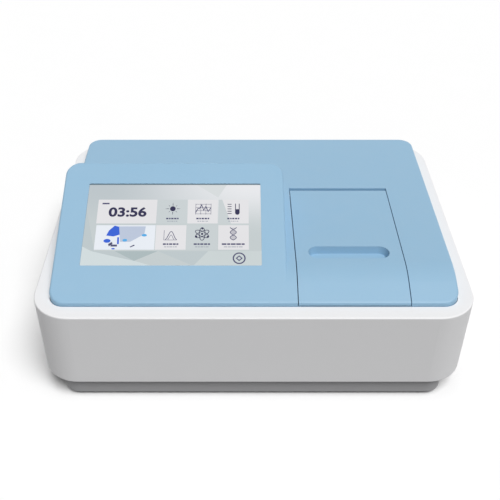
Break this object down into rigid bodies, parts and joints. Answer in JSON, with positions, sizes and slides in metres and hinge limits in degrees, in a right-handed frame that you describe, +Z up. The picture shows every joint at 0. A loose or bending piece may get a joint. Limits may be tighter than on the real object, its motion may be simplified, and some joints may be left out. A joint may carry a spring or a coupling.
{
  "type": "double-beam uv-vis spectrophotometer",
  "caption": "Bench spectrophotometer: flat casing with a sloped touch display and a hinged lid over a compartment for a sample cell and a reference cell.",
  "frame": {"origin": "centre of the footprint, on the surface that the feet stand on", "axes": "+X to the right seen from the front, +Y to the back, +Z up; the display and the lid face -Y and +Z"},
  "size_m": [0.47, 0.358, 0.1921],
  "materials": {
    "base_paint": "fine textured powder coat",
    "black_rubber": "matt",
    "cast_aluminium": "machined top, cast ribs",
    "white_plastic": "fine spark texture",
    "blue_plastic": "satin, fine texture",
    "screw_steel": "bright zinc",
    "screen_glass": "gloss touch glass over a lit panel",
    "panel_metal": "folded bright sheet",
    "sheet_steel": "zinc-plated sheet",
    "board_green": "solder resist",
    "black_plastic": "fine texture",
    "gloss_black": "gloss",
    "magnet_nickel": "nickel plate",
    "black_foam": "soft closed-cell foam",
    "quartz": "polished",
    "black_anodised": "black anodised",
    "spring_steel": "bright",
    "ceramic_white": "unglazed",
    "mirror_coat": "aluminium first surface",
    "motor_black": "black",
    "filter_glass": "tinted",
    "black_casting": "black paint on casting",
    "grating_coat": "ruled aluminium",
    "panel_paint": "light grey powder coat",
    "contact_brass": "nickel-plated",
    "bright_wire": "bright wire"
  },
  "bodies": {
    "chassis": {"base_plinth": "base_paint", "rubber_feet": "black_rubber", "bench_mounts": "black_rubber", "optical_bench": "cast_aluminium", "casing": "white_plastic", "top_cover": "blue_plastic", "machine_screws": "screw_steel", "display_glass": "screen_glass", "display_panel": "panel_metal", "display_bracket": "sheet_steel", "display_board": "board_green", "hinge_rod": "screw_steel", "compartment_tub": "black_plastic", "light_seal": "black_foam", "beam_windows": "quartz", "cell_stage": "black_anodised", "sample_cell_holder": "black_anodised", "reference_cell_holder": "black_anodised", "cell_springs": "spring_steel", "lamp_housing": "sheet_steel", "lamp_house_lid": "sheet_steel", "lamp_sockets": "ceramic_white", "deuterium_base": "panel_metal", "deuterium_lamp": "quartz", "tungsten_lamp": "quartz", "drive_motors": "motor_black", "filter_bracket": "sheet_steel", "monochromator_housing": "black_casting", "monochromator_lid": "black_casting", "slit_plates": "black_anodised", "optic_mounts": "black_anodised", "fixed_mirrors": "mirror_coat", "beam_splitter": "quartz", "focusing_lenses": "quartz", "detectors": "black_anodised", "detector_board": "board_green", "power_supply": "sheet_steel", "supply_board": "board_green", "main_board": "board_green", "rear_panel": "panel_paint", "data_ports": "panel_metal", "power_inlet": "black_plastic", "inlet_pins": "contact_brass", "power_switch": "black_plastic", "fan_frame": "black_plastic", "fan_guard": "bright_wire"},
    "lid": {"sample_lid": "blue_plastic", "lid_liner": "black_plastic", "liner_screws": "screw_steel", "lid_magnets": "magnet_nickel"},
    "rocker": {"power_rocker": "gloss_black"},
    "fuse_tray": {"fuse_drawer": "black_plastic"},
    "fan": {"fan_rotor": "black_plastic"},
    "mirror_turret": {"source_mirror_mount": "black_anodised", "source_mirror": "mirror_coat"},
    "filter_turret": {"filter_wheel": "black_anodised", "order_filters": "filter_glass"},
    "grating_table": {"grating_mount": "black_anodised", "diffraction_grating": "grating_coat"}
  },
  "joints": [
    {"name": "lid_hinge", "type": "hinge", "parent": "chassis", "child": "lid", "pos_m": [0.10565, 0.031, 0.1357], "axis": [-1, 0, 0], "range_deg": [0, 95]},
    {"name": "rocker_tilt", "type": "hinge", "parent": "chassis", "child": "rocker", "pos_m": [0.112, 0.1695, 0.076], "axis": [1, 0, 0], "range_deg": [0, 20]},
    {"name": "fuse_drawer_slide", "type": "slide", "parent": "chassis", "child": "fuse_tray", "axis": [0, 1, 0], "range_m": [0, 0.012]},
    {"name": "fan_spin", "type": "hinge", "parent": "chassis", "child": "fan", "pos_m": [-0.135, 0.1595, 0.075], "axis": [0, 1, 0], "continuous": true},
    {"name": "source_mirror_turn", "type": "hinge", "parent": "chassis", "child": "mirror_turret", "pos_m": [-0.135, 0.1, 0.07], "axis": [0, 0, -1], "range_deg": [0, 90]},
    {"name": "filter_wheel_spin", "type": "hinge", "parent": "chassis", "child": "filter_turret", "pos_m": [-0.119, 0.048, 0.07], "axis": [0, 1, 0], "continuous": true},
    {"name": "grating_turn", "type": "hinge", "parent": "chassis", "child": "grating_table", "pos_m": [-0.1, 0.002, 0.07], "axis": [0, 0, 1], "range_deg": [-5, 40]}
  ]
}
